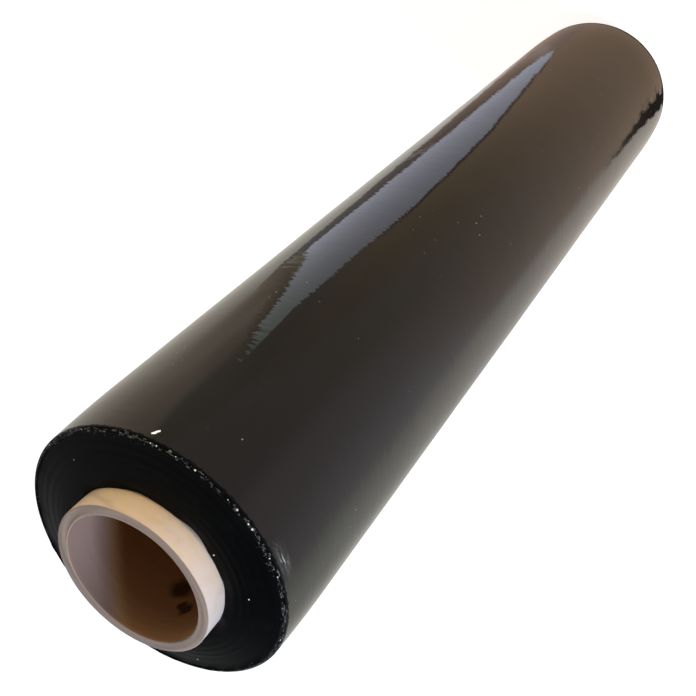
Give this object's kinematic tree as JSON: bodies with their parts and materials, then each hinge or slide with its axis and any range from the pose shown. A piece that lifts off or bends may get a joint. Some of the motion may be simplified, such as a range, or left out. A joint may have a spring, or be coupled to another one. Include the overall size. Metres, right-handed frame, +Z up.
{
  "type": "stretch wrap roll",
  "caption": "Roll of glossy black stretch film wound tight on a projecting cardboard core tube, standing on its core end.",
  "frame": {"origin": "centre of the core's lower end face, which the roll stands on", "axes": "+Z up the roll's own axis; the roll is round about it, so X and Y are free"},
  "size_m": [0.102, 0.102, 0.524],
  "materials": {
    "cardboard": "spirally wound brown board, cut square, matt and slightly fuzzy at the cut ends",
    "film": "many turns of black polyethylene stretch film, glossy on the outside, satin on the end faces"
  },
  "bodies": {
    "root": {"core_tube": "cardboard", "film_roll": "film"}
  },
  "joints": []
}
